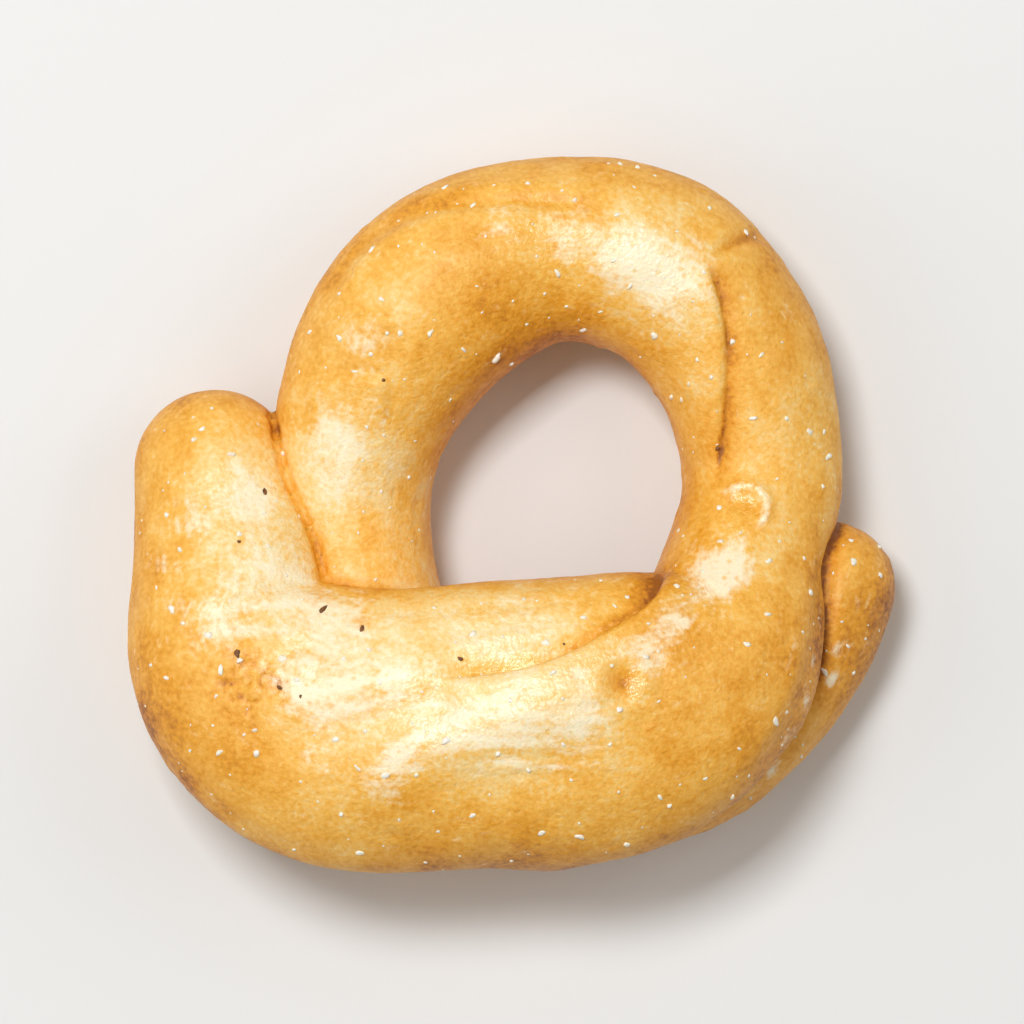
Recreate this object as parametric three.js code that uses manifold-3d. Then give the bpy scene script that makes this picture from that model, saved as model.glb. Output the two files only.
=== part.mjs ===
// Tarallo: a small baked ring of dough, modelled as one solid.
//
// One rope of dough goes about a turn and a third round the ring. Seen from above it starts
// with its lower tip at the near right, runs left along the near side, goes round the left,
// the far side and the right, climbs over its own first stretch, and ends in a tail that bends
// up and lies against the outside of the left strand.
//
// Millimetres, +Z up. The underside is flat where the dough lay on the baking tray.
// The origin is the middle of the bounding box, at tray level.

import * as THREE from 'three';
import { mergeVertices } from 'three/addons/utils/BufferGeometryUtils.js';
import Module from 'manifold-3d';

// ---- Driving dimensions ----------------------------------------------------------------

// The ring line is the ellipse that the rope's centre line follows, seen from above.
const ringHalfWidth = 11.3;
const ringHalfLength = 12.5;

// Half the rope's width at each named place along it.
const lowerTipRadius = 3.75;
const lowerRunRadius = 4.9;
const leftStrandRadius = 4.2;
const farLeftRadius = 5.6;
const farStrandRadius = 5.2;
const farRightRadius = 5.2;
const rightStrandRadius = 4.45;
const rightCornerRadius = 5.8;
const upperRunRadius = 7.75;
const leftCornerRadius = 7.1;
const tailBendRoundRadius = 6.1;
const tailRootRadius = 5.65;
const tailRadius = 5.0;
const tailTipRadius = 4.45;

// Height of the rope as a share of its width, where the upper run was pressed flat.
const rightCornerFlatness = 0.85;
const upperRunFlatness = 0.67;
const leftCornerFlatness = 0.76;
const tailFlatness = 0.95;

// The lower run swings out of the ring line, this far at its tip, and its tip pulls back in.
const lowerSwing = 5.3;
const lowerTipPull = 0.7;

// The far side bulges out of the ring line, most at the far right, and the far left is drawn
// in towards the hole.
const farBulge = 0.4;
const farRightOutset = 0.7;
const farLeftInset = 0.25;

// The upper run lies a little outside the ring line and has sunk into the lower run.
const rightCornerOutset = 1.5;
const upperRunOutset = 0.9;
const upperRunSlant = 0.75;
const upperRunSink = 4.6;

// The tail bends round beside the left strand and is pressed against it. It leans away from
// the strand, from its root by the bend to its tip.
const tailBendRadius = 8.0;
const tailBendEnd = 60;
const tailPress = 1.95;
const tailReach = 6.2;
const tailRootInset = 0.75;
const tailTipOutset = 0.4;

// How much of the rope's underside the tray flattened.
const flatDepth = 0.6;

// Length of the rounded ends, as a share of the rope's radius there.
const tipRoundness = 1.05;

// The inside of a bend is squeezed from this share of its radius on, and never reaches its centre.
const squeezeStart = 0.7;
const squeezeRoom = 0.27;

// The two lengths of rope meet at this share of the whole, on the far side of the ring.
const jointShare = 0.52;

// ---- Turns round the ring, in degrees --------------------------------------------------

// Zero is the right-hand side, and the rope runs clockwise, so its turn goes down.
const lowerTipTurn = -8;
const lowerJoinsRing = -172;
const climbStarts = -345;
const climbEnds = -437;

// ---- Mesh fineness ---------------------------------------------------------------------

const sides = 28;
const ringsPerLength = 46;
const ringsPerTip = 7;

// A bend is measured over this share of the rope's length to each side.
const bendWindow = 0.01;

const degrees = Math.PI / 180;

// ---- The rope's route ------------------------------------------------------------------

function onRing(turn, outward) {
  const x = (ringHalfWidth + outward) * Math.cos(turn * degrees);
  const y = (ringHalfLength + outward) * Math.sin(turn * degrees);
  return [x, y];
}

// How far outside the ring line the lower stretch lies at a turn.
function swingAt(turn) {
  const share = (turn - lowerJoinsRing) / (lowerTipTurn - lowerJoinsRing);
  const pull = lowerTipPull * share ** 6;
  return lowerSwing * Math.sin(share * Math.PI / 2) - pull;
}

// Height of the centre line where the rope lies on the tray.
function restingLevel(radius) {
  return radius - flatDepth;
}

// Height of the centre line where the upper run lies on the lower run.
function crossingLevel() {
  const lowerCrown = restingLevel(lowerRunRadius) + lowerRunRadius;
  return lowerCrown + upperRunRadius * upperRunFlatness - upperRunSink;
}

function station([x, y], level, halfWidth, flatness = 1) {
  return { at: new THREE.Vector3(x, y, level), halfWidth, flatness };
}

function lowerStations() {
  const thicken = (share) => THREE.MathUtils.lerp(lowerTipRadius, lowerRunRadius, share);
  const thickness = [
    [lowerTipTurn, lowerTipRadius],
    [-23, lowerTipRadius],
    [-42, thicken(0.15)],
    [-64, thicken(0.6)],
    [-90, lowerRunRadius],
    [-116, lowerRunRadius],
    [-142, (lowerRunRadius + leftStrandRadius) / 2],
  ];
  return thickness.map(([turn, radius]) => {
    return station(onRing(turn, swingAt(turn)), restingLevel(radius), radius);
  });
}

function ringStations() {
  const places = [
    [-170, leftStrandRadius, 0, 1],
    [-200, (leftStrandRadius + farLeftRadius) / 2, -farLeftInset, 1],
    [-233, farLeftRadius, -farLeftInset / 2, 1],
    [-267, farStrandRadius, farBulge / 2, 1],
    [-300, farRightRadius, farRightOutset, 1],
    [-330, (farRightRadius + rightStrandRadius) / 2, farBulge, 1],
    [-358, rightStrandRadius, farBulge / 2, 1],
    [-382, rightStrandRadius, 0, 1],
    [-408, rightCornerRadius, rightCornerOutset, rightCornerFlatness],
    [climbEnds, upperRunRadius, upperRunOutset, upperRunFlatness],
  ];
  return places.map(([turn, radius, outward, flatness]) => {
    const resting = THREE.MathUtils.smoothstep(turn, climbEnds, climbStarts);
    const level = THREE.MathUtils.lerp(crossingLevel(), restingLevel(radius * flatness), resting);
    return station(onRing(turn, outward), level, radius, flatness);
  });
}

// The straight run over the lower run, the bend round the left strand, and the tail.
function tailStations() {
  const [runStartX, runStartY] = onRing(climbEnds, upperRunOutset);
  const runEndY = runStartY - upperRunSlant;
  const tailX = -(ringHalfWidth + leftStrandRadius + tailRadius - tailPress);
  const bend = new THREE.Vector2(tailX + tailBendRadius, runEndY + tailBendRadius);
  const onBend = (turned) => [
    bend.x - tailBendRadius * Math.sin(turned * degrees),
    bend.y - tailBendRadius * Math.cos(turned * degrees),
  ];
  const onTail = (share) => [
    tailX + THREE.MathUtils.lerp(tailRootInset, -tailTipOutset, share),
    bend.y + tailReach * share,
  ];
  const pastTip = 1 + (tailTipRadius * tipRoundness) / tailReach;
  const runMiddle = [(runStartX + bend.x) / 2, (runStartY + runEndY) / 2];
  const top = crossingLevel();
  const low = restingLevel(tailTipRadius * tailFlatness);
  const places = [
    [runMiddle, 0, upperRunRadius, upperRunFlatness],
    [onBend(0), 0.14, upperRunRadius, upperRunFlatness],
    [onBend(35), 0.38, leftCornerRadius, leftCornerFlatness],
    [onBend(tailBendEnd), 0.6, tailBendRoundRadius, tailFlatness],
    [onTail(0), 0.8, tailRootRadius, tailFlatness],
    [onTail(0.5), 0.95, tailRadius, tailFlatness],
    [onTail(1), 1, tailTipRadius, tailFlatness],
    [onTail(pastTip), 1, tailTipRadius, tailFlatness],
  ];
  return places.map(([place, fall, radius, flatness]) => {
    return station(place, THREE.MathUtils.lerp(top, low, fall), radius, flatness);
  });
}

const stations = [...lowerStations(), ...ringStations(), ...tailStations()];
const route = new THREE.CatmullRomCurve3(stations.map((stop) => stop.at), false, 'centripetal');
const sectionLine = new THREE.CatmullRomCurve3(
  stations.map((stop) => new THREE.Vector3(stop.halfWidth, stop.flatness, 0)),
  false,
  'catmullrom',
);
const ropeLength = route.getLength();

// ---- The rope --------------------------------------------------------------------------

// Half width and flatness of the rope at a share of its length.
function sectionAt(share) {
  const section = sectionLine.getPoint(route.getUtoTmapping(share));
  return { halfWidth: section.x, flatness: section.y };
}

// Half width with both ends rounded off.
function ropeRadiusAt(distance) {
  const full = sectionAt(distance / ropeLength).halfWidth;
  const fromEnd = Math.min(distance, ropeLength - distance);
  const inside = Math.min(fromEnd / (full * tipRoundness), 1);
  return full * Math.sqrt(Math.max(1 - (1 - inside) ** 2, 0));
}

// Distances for the profile's points, closer together in the rounded tip.
function profileDistances(from, to, tipAtStart) {
  const capLength = (tipAtStart ? lowerTipRadius : tailTipRadius) * tipRoundness;
  const distances = [];
  for (let step = 0; step < ringsPerTip; step += 1) {
    distances.push(capLength * (1 - Math.cos((step / ringsPerTip) * Math.PI / 2)));
  }
  const rest = to - from - capLength;
  for (let step = 0; step <= ringsPerLength; step += 1) {
    distances.push(capLength + (rest * step) / ringsPerLength);
  }
  return tipAtStart
    ? distances.map((distance) => from + distance)
    : distances.map((distance) => to - distance).reverse();
}

// A straight length of rope round the Y axis: rounded at its tip, flat where it is joined.
function straightLength(from, to, tipAtStart) {
  const points = profileDistances(from, to, tipAtStart).map((distance) => {
    return new THREE.Vector2(ropeRadiusAt(distance), distance);
  });
  const joint = new THREE.Vector2(0, tipAtStart ? to : from);
  if (tipAtStart) {
    points[0].x = 0;
    points.push(joint);
  } else {
    points[points.length - 1].x = 0;
    points.unshift(joint);
  }
  return new THREE.LatheGeometry(points, sides);
}

// Radius of the route's bend, seen from above. The rope always bends to its right.
function bendRadiusAt(share) {
  const from = Math.max(share - bendWindow, 0);
  const to = Math.min(share + bendWindow, 1);
  const turned = route.getTangentAt(from).angleTo(route.getTangentAt(to));
  return ((to - from) * ropeLength) / Math.max(turned, 0.001);
}

// Keeps the inside of a tight bend from folding over itself.
function squeezeIntoBend(aside, bendRadius) {
  const start = squeezeStart * bendRadius;
  if (aside <= start) {
    return aside;
  }
  const room = squeezeRoom * bendRadius;
  return start + room * (1 - Math.exp((start - aside) / room));
}

// Bends a straight length so that its axis follows the route, and presses it flat.
function bendAlongRoute(geometry) {
  const position = geometry.getAttribute('position');
  const up = new THREE.Vector3(0, 0, 1);
  for (let index = 0; index < position.count; index += 1) {
    const share = THREE.MathUtils.clamp(position.getY(index) / ropeLength, 0, 1);
    const centre = route.getPointAt(share);
    const along = route.getTangentAt(share);
    const aside = new THREE.Vector3().crossVectors(along, up).normalize();
    const above = new THREE.Vector3().crossVectors(aside, along);
    const point = centre
      .addScaledVector(aside, squeezeIntoBend(position.getX(index), bendRadiusAt(share)))
      .addScaledVector(above, position.getZ(index) * sectionAt(share).flatness);
    position.setXYZ(index, point.x, point.y, point.z);
  }
  return geometry;
}

// ---- Solids ----------------------------------------------------------------------------

const wasm = await Module();
wasm.setup();

function toSolid(geometry) {
  const bare = geometry.clone();
  bare.deleteAttribute('normal');
  bare.deleteAttribute('uv');
  const merged = mergeVertices(bare);
  const corners = merged.getIndex().array;
  const kept = [];
  for (let start = 0; start < corners.length; start += 3) {
    const [a, b, c] = corners.slice(start, start + 3);
    const collapsed = a === b || b === c || c === a;
    if (!collapsed) {
      kept.push(a, b, c);
    }
  }
  return new wasm.Manifold(new wasm.Mesh({
    numProp: 3,
    vertProperties: new Float32Array(merged.getAttribute('position').array),
    triVerts: new Uint32Array(kept),
  }));
}

function toGeometry(solid) {
  const mesh = solid.getMesh();
  const geometry = new THREE.BufferGeometry();
  geometry.setAttribute('position', new THREE.BufferAttribute(mesh.vertProperties, 3));
  geometry.setIndex(new THREE.BufferAttribute(mesh.triVerts, 1));
  geometry.computeVertexNormals();
  return geometry;
}

// The block of space under the tray's surface, wider than the ring.
function belowTray() {
  const spread = 4 * (ringHalfWidth + ringHalfLength + upperRunRadius);
  const depth = 2 * upperRunRadius;
  const block = new THREE.BoxGeometry(spread, spread, depth);
  block.translate(0, 0, -depth / 2);
  return block;
}

// ---- The tarallo -----------------------------------------------------------------------

function makeTarallo() {
  const joint = ropeLength * jointShare;
  const lowerLength = toSolid(bendAlongRoute(straightLength(0, joint, true)));
  const upperLength = toSolid(bendAlongRoute(straightLength(joint, ropeLength, false)));
  const baked = lowerLength.add(upperLength).subtract(toSolid(belowTray()));
  const geometry = toGeometry(baked);
  geometry.computeBoundingBox();
  const middle = geometry.boundingBox.getCenter(new THREE.Vector3());
  geometry.translate(-middle.x, -middle.y, 0);

  const crust = new THREE.MeshStandardMaterial({ color: 0xe3a850, roughness: 0.45, metalness: 0 });
  const tarallo = new THREE.Mesh(geometry, crust);
  tarallo.name = 'tarallo';
  return tarallo;
}

const group = new THREE.Group();
group.add(makeTarallo());

export default group;
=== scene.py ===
"""A tarallo: a small baked ring of dough whose two ends cross and are pressed together.

The CAD solid holds the ring's size, place and collision. This script gives it its skin. The
same rope of dough is laid along the same route, its two lengths are blended where they were
pressed together, and the surface is then worked in mesh: laps, grooves, a blister, a dimple,
cracks, pores and stretch marks. Salt grains and bran flecks lie in the crust as small meshes.

All sizes are in millimetres until a mesh is handed to Blender, which takes metres.
"""
import math

import bmesh
import bpy
import numpy as np
import openvdb
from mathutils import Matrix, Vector


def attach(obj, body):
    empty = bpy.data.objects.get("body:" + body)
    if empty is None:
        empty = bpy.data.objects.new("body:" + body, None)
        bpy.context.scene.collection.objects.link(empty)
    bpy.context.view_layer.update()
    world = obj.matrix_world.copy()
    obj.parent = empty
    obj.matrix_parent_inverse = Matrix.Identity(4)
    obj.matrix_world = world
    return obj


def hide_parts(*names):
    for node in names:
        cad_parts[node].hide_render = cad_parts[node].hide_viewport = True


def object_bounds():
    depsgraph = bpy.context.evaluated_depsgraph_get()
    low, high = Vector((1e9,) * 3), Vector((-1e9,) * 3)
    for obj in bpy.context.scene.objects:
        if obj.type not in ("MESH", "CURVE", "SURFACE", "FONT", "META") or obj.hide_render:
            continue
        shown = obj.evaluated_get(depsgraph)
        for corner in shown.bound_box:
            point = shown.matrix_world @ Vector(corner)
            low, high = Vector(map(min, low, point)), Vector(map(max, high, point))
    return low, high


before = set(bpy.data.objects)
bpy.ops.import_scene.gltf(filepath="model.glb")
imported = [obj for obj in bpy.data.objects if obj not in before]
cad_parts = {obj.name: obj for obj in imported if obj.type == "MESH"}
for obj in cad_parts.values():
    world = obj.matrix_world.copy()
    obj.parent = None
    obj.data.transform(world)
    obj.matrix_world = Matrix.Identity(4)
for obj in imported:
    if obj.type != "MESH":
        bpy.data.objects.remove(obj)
cad_low, cad_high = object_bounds()

MM = 0.001
SEED = 417

# ---- The rope's route, as in the CAD part ----

RING_CENTRE = (2.404, 1.855)
RING_HALF_WIDTH = 11.3
RING_HALF_LENGTH = 12.5

LOWER_TIP_RADIUS = 3.75
LOWER_RUN_RADIUS = 4.9
LEFT_STRAND_RADIUS = 4.2
FAR_LEFT_RADIUS = 5.6
FAR_STRAND_RADIUS = 5.2
FAR_RIGHT_RADIUS = 5.2
RIGHT_STRAND_RADIUS = 4.45
RIGHT_CORNER_RADIUS = 5.8
UPPER_RUN_RADIUS = 7.75
LEFT_CORNER_RADIUS = 7.1
TAIL_BEND_ROUND_RADIUS = 6.1
TAIL_ROOT_RADIUS = 5.65
TAIL_RADIUS = 5.0
TAIL_TIP_RADIUS = 4.45

RIGHT_CORNER_FLATNESS = 0.85
UPPER_RUN_FLATNESS = 0.67
LEFT_CORNER_FLATNESS = 0.76
TAIL_FLATNESS = 0.95

LOWER_SWING = 5.3
LOWER_TIP_PULL = 0.7
FAR_BULGE = 0.4
FAR_RIGHT_OUTSET = 0.7
FAR_LEFT_INSET = 0.25
RIGHT_CORNER_OUTSET = 1.5
UPPER_RUN_OUTSET = 0.9
UPPER_RUN_SLANT = 0.75
UPPER_RUN_SINK = 4.6
TAIL_BEND_RADIUS = 8.0
TAIL_BEND_END = 60
TAIL_PRESS = 1.95
TAIL_REACH = 6.2
TAIL_ROOT_INSET = 0.75
TAIL_TIP_OUTSET = 0.4
FLAT_DEPTH = 0.6

LOWER_TIP_TURN = -8
LOWER_JOINS_RING = -172
CLIMB_STARTS = -345
CLIMB_ENDS = -437

# The two lengths of rope meet at this share of the whole, on the far side of the ring, and
# overlap by this many of the rope's samples to each side.
JOINT_SHARE = 0.52
JOINT_OVERLAP = 12
ROPE_SAMPLES = 420

# The route's spline has this many steps from station to station. The search for the nearest
# sample starts with one in so many, and takes so many points at once.
ROUTE_STEPS = 40
STRIDE = 7
POINTS_AT_ONCE = 20000

# The lower tip's round end reaches a radius past its last sample, so the samples stop short.
LOWER_TIP_TRIM = 3.6


def mix(a, b, share):
    return a + (b - a) * share


def smooth(x, low, high):
    """0 below low, 1 above high, and a smooth rise between them. low may be above high."""
    share = np.clip((x - low) / (high - low), 0.0, 1.0)
    return share * share * (3.0 - 2.0 * share)


def on_ring(turn, outward):
    angle = math.radians(turn)
    x = RING_CENTRE[0] + (RING_HALF_WIDTH + outward) * math.cos(angle)
    y = RING_CENTRE[1] + (RING_HALF_LENGTH + outward) * math.sin(angle)
    return x, y


def swing_at(turn):
    """How far outside the ring line the lower run lies at a turn."""
    share = (turn - LOWER_JOINS_RING) / (LOWER_TIP_TURN - LOWER_JOINS_RING)
    return LOWER_SWING * math.sin(share * math.pi / 2) - LOWER_TIP_PULL * share**6


def resting_level(radius):
    return radius - FLAT_DEPTH


def crossing_level():
    """Height of the centre line where the upper run lies on the lower run."""
    crown = resting_level(LOWER_RUN_RADIUS) + LOWER_RUN_RADIUS
    return crown + UPPER_RUN_RADIUS * UPPER_RUN_FLATNESS - UPPER_RUN_SINK


def lower_stations():
    """Stations of the lower run. Each station is (x, y, level, half width, flatness)."""
    thickness = [
        (LOWER_TIP_TURN, LOWER_TIP_RADIUS),
        (-23, LOWER_TIP_RADIUS),
        (-42, mix(LOWER_TIP_RADIUS, LOWER_RUN_RADIUS, 0.15)),
        (-64, mix(LOWER_TIP_RADIUS, LOWER_RUN_RADIUS, 0.6)),
        (-90, LOWER_RUN_RADIUS),
        (-116, LOWER_RUN_RADIUS),
        (-142, mix(LOWER_RUN_RADIUS, LEFT_STRAND_RADIUS, 0.5)),
    ]
    return [
        (*on_ring(turn, swing_at(turn)), resting_level(radius), radius, 1.0)
        for turn, radius in thickness
    ]


def ring_stations():
    places = [
        (-170, LEFT_STRAND_RADIUS, 0, 1),
        (-200, mix(LEFT_STRAND_RADIUS, FAR_LEFT_RADIUS, 0.5), -FAR_LEFT_INSET, 1),
        (-233, FAR_LEFT_RADIUS, -FAR_LEFT_INSET / 2, 1),
        (-267, FAR_STRAND_RADIUS, FAR_BULGE / 2, 1),
        (-300, FAR_RIGHT_RADIUS, FAR_RIGHT_OUTSET, 1),
        (-330, mix(FAR_RIGHT_RADIUS, RIGHT_STRAND_RADIUS, 0.5), FAR_BULGE, 1),
        (-358, RIGHT_STRAND_RADIUS, FAR_BULGE / 2, 1),
        (-382, RIGHT_STRAND_RADIUS, 0, 1),
        (-408, RIGHT_CORNER_RADIUS, RIGHT_CORNER_OUTSET, RIGHT_CORNER_FLATNESS),
        (CLIMB_ENDS, UPPER_RUN_RADIUS, UPPER_RUN_OUTSET, UPPER_RUN_FLATNESS),
    ]
    stations = []
    for turn, radius, outward, flatness in places:
        resting = float(smooth(turn, CLIMB_ENDS, CLIMB_STARTS))
        level = mix(crossing_level(), resting_level(radius * flatness), resting)
        stations.append((*on_ring(turn, outward), level, radius, flatness))
    return stations


def tail_stations():
    """The straight run over the lower run, the bend round the left strand, and the tail."""
    start_x, start_y = on_ring(CLIMB_ENDS, UPPER_RUN_OUTSET)
    end_y = start_y - UPPER_RUN_SLANT
    beside_left = RING_HALF_WIDTH + LEFT_STRAND_RADIUS + TAIL_RADIUS - TAIL_PRESS
    tail_x = RING_CENTRE[0] - beside_left
    bend_x, bend_y = tail_x + TAIL_BEND_RADIUS, end_y + TAIL_BEND_RADIUS

    def on_bend(turned):
        angle = math.radians(turned)
        x = bend_x - TAIL_BEND_RADIUS * math.sin(angle)
        y = bend_y - TAIL_BEND_RADIUS * math.cos(angle)
        return x, y

    def on_tail(share):
        return tail_x + mix(TAIL_ROOT_INSET, -TAIL_TIP_OUTSET, share), bend_y + TAIL_REACH * share

    run_middle = mix(start_x, bend_x, 0.5), mix(start_y, end_y, 0.5)
    places = [
        (run_middle, 0, UPPER_RUN_RADIUS, UPPER_RUN_FLATNESS),
        (on_bend(0), 0.14, UPPER_RUN_RADIUS, UPPER_RUN_FLATNESS),
        (on_bend(35), 0.38, LEFT_CORNER_RADIUS, LEFT_CORNER_FLATNESS),
        (on_bend(TAIL_BEND_END), 0.6, TAIL_BEND_ROUND_RADIUS, TAIL_FLATNESS),
        (on_tail(0.0), 0.8, TAIL_ROOT_RADIUS, TAIL_FLATNESS),
        (on_tail(0.5), 0.95, TAIL_RADIUS, TAIL_FLATNESS),
        (on_tail(1.0), 1.0, TAIL_TIP_RADIUS, TAIL_FLATNESS),
    ]
    top, low = crossing_level(), resting_level(TAIL_TIP_RADIUS * TAIL_FLATNESS)
    return [(*place, mix(top, low, fall), radius, flat) for place, fall, radius, flat in places]


def catmull_rom(stations, per_span):
    """Points on a centripetal spline through the stations; every column is splined alike."""
    rows = np.array(stations, float)
    rows = np.vstack([2 * rows[0] - rows[1], rows, 2 * rows[-1] - rows[-2]])
    share = np.linspace(0.0, 1.0, per_span, endpoint=False)[:, None]
    spans = []
    for p0, p1, p2, p3 in zip(rows, rows[1:], rows[2:], rows[3:]):
        d0, d1, d2 = (math.dist(a[:3], b[:3]) ** 0.5 for a, b in ((p0, p1), (p1, p2), (p2, p3)))
        leave = ((p1 - p0) / d0 - (p2 - p0) / (d0 + d1) + (p2 - p1) / d1) * d1
        arrive = ((p2 - p1) / d1 - (p3 - p1) / (d1 + d2) + (p3 - p2) / d2) * d1
        square, cube = share**2, share**3
        spans.append(
            (2 * cube - 3 * square + 1) * p1
            + (cube - 2 * square + share) * leave
            + (3 * square - 2 * cube) * p2
            + (cube - square) * arrive
        )
    spans.append(rows[-2:-1])
    return np.vstack(spans)


class Rope:
    """One length of the rope: evenly spaced samples with place, half width and flatness."""

    def __init__(self, samples, distance):
        self.centre = samples[:, :3]
        self.half_width = samples[:, 3]
        self.flatness = samples[:, 4]
        self.distance = distance
        along = np.gradient(self.centre, axis=0)
        self.along = along / np.linalg.norm(along, axis=1, keepdims=True)

    def field(self, points):
        """Signed distance to the rope's skin, distance along it and angle round it."""
        gap = np.empty(len(points))
        travel = np.empty(len(points))
        angle = np.empty(len(points))
        for start in range(0, len(points), POINTS_AT_ONCE):
            part = slice(start, start + POINTS_AT_ONCE)
            gap[part], travel[part], angle[part] = self._field(points[part])
        return gap, travel, angle

    def _nearest(self, points):
        """The sample nearest to each point: first among every few, then close by."""
        rough = self.centre[::STRIDE]
        squares = (rough**2).sum(1) - self.half_width[::STRIDE] ** 2
        start = np.argmin(squares - 2.0 * points @ rough.T, axis=1) * STRIDE
        window = start[:, None] + np.arange(-STRIDE, STRIDE + 1)
        window = np.clip(window, 0, len(self.centre) - 1)
        gaps = points[:, None, :] - self.centre[window]
        reach = (gaps**2).sum(2) - self.half_width[window] ** 2
        return window[np.arange(len(points)), np.argmin(reach, axis=1)]

    def _field(self, points):
        near = self._nearest(points)
        offset = points - self.centre[near]
        spacing = self.distance[1] - self.distance[0]
        ahead = np.clip((offset * self.along[near]).sum(1) / spacing, -0.5, 0.5)
        other = np.clip(near + np.where(ahead < 0, -1, 1), 0, len(self.centre) - 1)
        share = np.abs(ahead)
        centre = mix(self.centre[near], self.centre[other], share[:, None])
        wide = mix(self.half_width[near], self.half_width[other], share)
        high = wide * mix(self.flatness[near], self.flatness[other], share)
        offset = points - centre
        radii = np.stack([wide, wide, high], axis=1)
        scaled = np.sqrt(((offset / radii) ** 2).sum(1))
        steepness = np.sqrt(((offset / radii**2) ** 2).sum(1))
        gap = scaled * (scaled - 1.0) / np.maximum(steepness, 1e-6)
        along = self.along[near]
        aside = offset[:, 0] * along[:, 1] - offset[:, 1] * along[:, 0]
        travel = self.distance[near] + ahead * spacing
        return gap, travel, np.arctan2(aside, offset[:, 2])


def lay_rope():
    """The rope's lower and upper lengths, which overlap a little on the far side."""
    fine = catmull_rom(lower_stations() + ring_stations() + tail_stations(), ROUTE_STEPS)
    steps = np.linalg.norm(np.diff(fine[:, :3], axis=0), axis=1)
    reached = np.concatenate([[0.0], np.cumsum(steps)])
    even = np.linspace(0.0, reached[-1], ROPE_SAMPLES)
    samples = np.stack([np.interp(even, reached, fine[:, k]) for k in range(5)], axis=1)
    joint = int(ROPE_SAMPLES * JOINT_SHARE)
    first = np.searchsorted(even, LOWER_TIP_TRIM)
    lower = slice(first, joint + JOINT_OVERLAP)
    upper = slice(joint - JOINT_OVERLAP, None)
    return Rope(samples[lower], even[lower]), Rope(samples[upper], even[upper])


lower_rope, upper_rope = lay_rope()

# ---- Noise ----

dice = np.random.default_rng(SEED)
SHUFFLE = np.tile(dice.permutation(256), 2)
SLOPES = dice.normal(size=(256, 3))
SLOPES /= np.linalg.norm(SLOPES, axis=1, keepdims=True)
NOISE_GAIN = 1.6


def noise(points, size, shift=0.0):
    """Gradient noise of about -1 to 1, with lumps of the given size in mm."""
    place = points / size + shift
    cell = np.floor(place).astype(int)
    inside = place - cell
    fade = inside**3 * (inside * (inside * 6 - 15) + 10)
    total = np.zeros(len(place))
    for corner in np.ndindex(2, 2, 2):
        at = (cell + corner) & 255
        slope = SLOPES[SHUFFLE[SHUFFLE[SHUFFLE[at[:, 0]] + at[:, 1]] + at[:, 2]]]
        weight = np.where(corner, fade, 1 - fade).prod(1)
        total += weight * (slope * (inside - corner)).sum(1)
    return total * NOISE_GAIN


def waves(points, layers):
    """Noise of several sizes added up: (size, shift, amount) each."""
    return sum(amount * noise(points, size, shift) for size, shift, amount in layers)


# ---- The blended dough ----

TRAY_SOFTNESS = 0.9
SWELLING_WAVES = [(9.0, 0.0, 0.17), (4.6, 7.3, 0.07)]

# How widely the two lengths of dough run together, in mm: at the sides of the crossing, along
# its near edge, in that edge's stretch beside the lower tip, and at the joint on the far side.
SIDE_BLEND = 0.2
PRESSED_BLEND = 4.6
TIP_BLEND = 0.5
JOINT_BLEND = 0.02

# Where these blends begin and are full: the near edge and the joint in y, and the tip in x.
NEAR_EDGE = (-8.0, -12.0)
BESIDE_TIP = (2.0, 9.0)
JOINT_SIDE = (5.0, 9.0)


def blend_width(points):
    """How widely the two lengths of dough run together, in mm, at each point."""
    x, y = points[:, 0], points[:, 1]
    near_edge = mix(PRESSED_BLEND, TIP_BLEND, smooth(x, *BESIDE_TIP))
    pressed = mix(SIDE_BLEND, near_edge, smooth(y, *NEAR_EDGE))
    return mix(pressed, JOINT_BLEND, smooth(y, *JOINT_SIDE))


def smooth_union(a, b, width):
    """The nearer of two signed distances, rounded over a width where they are alike."""
    overlap = np.maximum(width - np.abs(a - b), 0.0) / width
    return np.minimum(a, b) - overlap**2 * width / 4.0


def swelling(points):
    """The slow unevenness of hand-rolled dough, in mm outwards."""
    return waves(points, SWELLING_WAVES)


def dough_field(points):
    """Signed distance to the tarallo's smooth skin, in mm, negative inside."""
    lower, _, _ = lower_rope.field(points)
    upper, _, _ = upper_rope.field(points)
    dough = smooth_union(lower, upper, blend_width(points)) - swelling(points)
    return -smooth_union(-dough, points[:, 2], TRAY_SOFTNESS)


# ---- Strokes: lines pressed or lapped into the top of the dough ----


class Stroke:
    """A smooth line over the top of the tarallo, through (x, y) places."""

    REACH = 5.0
    STEPS = 8

    def __init__(self, *places):
        self.path = catmull_rom(places, self.STEPS)

    def measure(self, points):
        """Foot on the stroke, share along it and gap to its left, near the stroke only."""
        low, high = self.path.min(0) - self.REACH, self.path.max(0) + self.REACH
        near = np.flatnonzero(((points[:, :2] > low) & (points[:, :2] < high)).all(1))
        flat = points[near, :2]
        best = np.full(len(flat), np.inf)
        foot = np.zeros_like(flat)
        share = np.zeros(len(flat))
        side = np.zeros(len(flat))
        for step, (start, end) in enumerate(zip(self.path, self.path[1:])):
            leg = end - start
            travelled = np.clip((flat - start) @ leg / (leg @ leg), 0.0, 1.0)
            here = start + travelled[:, None] * leg
            away = flat - here
            gap = np.hypot(away[:, 0], away[:, 1])
            closer = gap < best
            best[closer] = gap[closer]
            foot[closer] = here[closer]
            share[closer] = (step + travelled[closer]) / (len(self.path) - 1)
            side[closer] = np.sign(leg[0] * away[closer, 1] - leg[1] * away[closer, 0])
        return near, foot, share, best * side


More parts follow.
